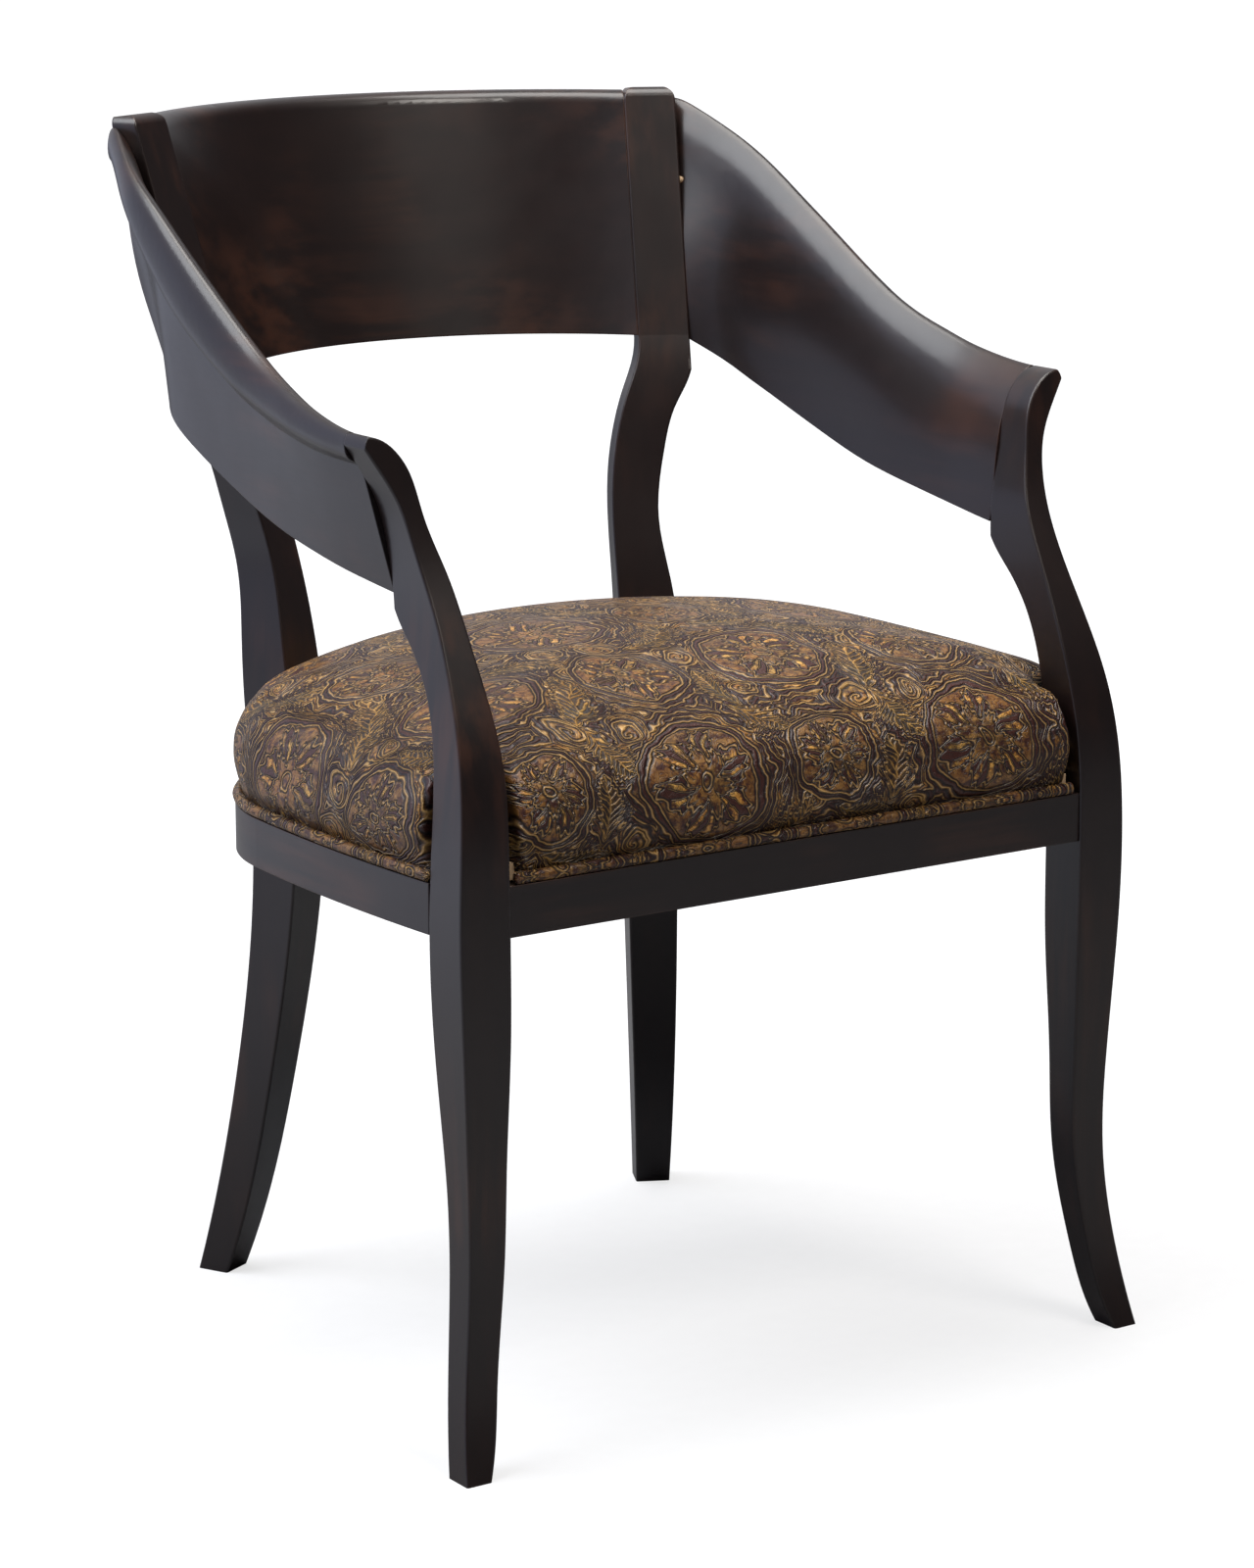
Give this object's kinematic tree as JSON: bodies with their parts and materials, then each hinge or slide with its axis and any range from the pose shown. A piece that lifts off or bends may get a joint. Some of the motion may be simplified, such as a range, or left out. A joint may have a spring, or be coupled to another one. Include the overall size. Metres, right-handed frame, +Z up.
{
  "type": "klismos armchair",
  "caption": "Klismos armchair in dark stained wood, with sabre legs, a curved back panel, scrolled arms and an upholstered seat covered in embossed leather.",
  "frame": {"origin": "on the floor, below the middle of the chair's bounding box", "axes": "+Z up, the sitter faces -Y, +X is to the right of someone looking along +Y; the plane X = 0 is the chair's plane of symmetry"},
  "size_m": [0.588, 0.6403, 0.8705],
  "materials": {
    "frame_wood": "near-black espresso stain with reddish rub-through, satin lacquer",
    "bare_wood": "plain unfinished wood, hidden",
    "leather": "embossed floral leather, dark maroon-brown with ochre highlights, satin",
    "foam": "seat foam, hidden",
    "dust_cloth": "black non-woven cloth under the seat",
    "screws": "zinc-plated steel"
  },
  "bodies": {
    "root": {"front_leg_left": "frame_wood", "front_leg_right": "frame_wood", "rear_leg_left": "frame_wood", "rear_leg_right": "frame_wood", "arm_left": "frame_wood", "arm_right": "frame_wood", "back_panel": "frame_wood", "front_rail": "frame_wood", "side_rail_left": "frame_wood", "side_rail_right": "frame_wood", "back_rail": "frame_wood", "front_block_left": "bare_wood", "front_block_right": "bare_wood", "rear_block_left": "bare_wood", "rear_block_right": "bare_wood", "rail_dowels": "bare_wood", "arm_front_dowels": "bare_wood", "arm_rear_dowels": "bare_wood", "panel_dowels": "bare_wood", "rear_leg_screws": "screws", "block_screws": "screws", "seat_screws": "screws", "seat_board": "bare_wood", "dust_cover": "dust_cloth", "seat_foam": "foam", "seat_cover": "leather", "welt_front": "leather", "welt_side_left": "leather", "welt_side_right": "leather", "welt_back": "leather"}
  },
  "joints": []
}
